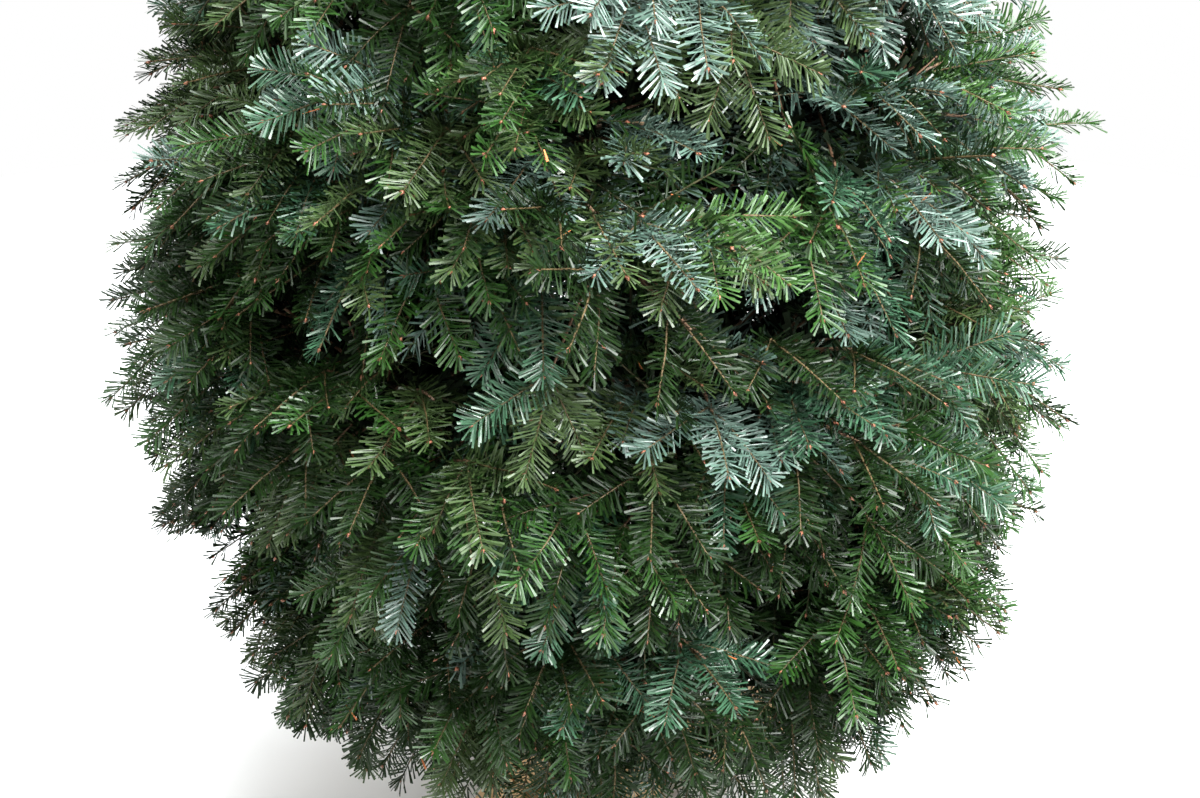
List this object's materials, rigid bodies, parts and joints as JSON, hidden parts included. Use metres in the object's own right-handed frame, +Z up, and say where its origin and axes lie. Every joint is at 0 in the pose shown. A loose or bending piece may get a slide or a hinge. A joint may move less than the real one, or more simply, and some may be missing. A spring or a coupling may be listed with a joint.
{
  "type": "cut fir christmas tree",
  "caption": "Dense egg-shaped cut fir tree with drooping lower sprays, held upright in a plain crossed-board wooden stand.",
  "frame": {"origin": "middle of the stand's underside, on the trunk's axis", "axes": "+Z up along the trunk, +X to the viewer's right and +Y away from the viewer"},
  "size_m": [1.017, 1.0282, 2],
  "materials": {
    "needles": "dense green fir needles with a slight waxy sheen",
    "bough_bark": "tan-brown young bark",
    "trunk_bark": "grey-brown bark with resin blisters, pale sawn foot",
    "pine_boards": "planed, untreated pine"
  },
  "bodies": {
    "root": {"trunk": "trunk_bark", "bough_1_1": "bough_bark", "foliage_1_1": "needles", "bough_1_2": "bough_bark", "foliage_1_2": "needles", "bough_1_3": "bough_bark", "foliage_1_3": "needles", "bough_1_4": "bough_bark", "foliage_1_4": "needles", "bough_1_5": "bough_bark", "foliage_1_5": "needles", "bough_1_6": "bough_bark", "foliage_1_6": "needles", "bough_2_1": "bough_bark", "foliage_2_1": "needles", "bough_2_2": "bough_bark", "foliage_2_2": "needles", "bough_2_3": "bough_bark", "foliage_2_3": "needles", "bough_2_4": "bough_bark", "foliage_2_4": "needles", "bough_2_5": "bough_bark", "foliage_2_5": "needles", "bough_2_6": "bough_bark", "foliage_2_6": "needles", "bough_3_1": "bough_bark", "foliage_3_1": "needles", "bough_3_2": "bough_bark", "foliage_3_2": "needles", "bough_3_3": "bough_bark", "foliage_3_3": "needles", "bough_3_4": "bough_bark", "foliage_3_4": "needles", "bough_3_5": "bough_bark", "foliage_3_5": "needles", "bough_4_1": "bough_bark", "foliage_4_1": "needles", "bough_4_2": "bough_bark", "foliage_4_2": "needles", "bough_4_3": "bough_bark", "foliage_4_3": "needles", "bough_4_4": "bough_bark", "foliage_4_4": "needles", "bough_5_1": "bough_bark", "foliage_5_1": "needles", "bough_5_2": "bough_bark", "foliage_5_2": "needles", "bough_5_3": "bough_bark", "foliage_5_3": "needles", "foliage_6_1": "needles", "foliage_6_2": "needles", "foliage_6_3": "needles", "foliage_leader": "needles", "stand_beam_lower": "pine_boards", "stand_beam_upper": "pine_boards", "stand_brace_1": "pine_boards", "stand_brace_2": "pine_boards", "stand_brace_3": "pine_boards", "stand_brace_4": "pine_boards"}
  },
  "joints": []
}
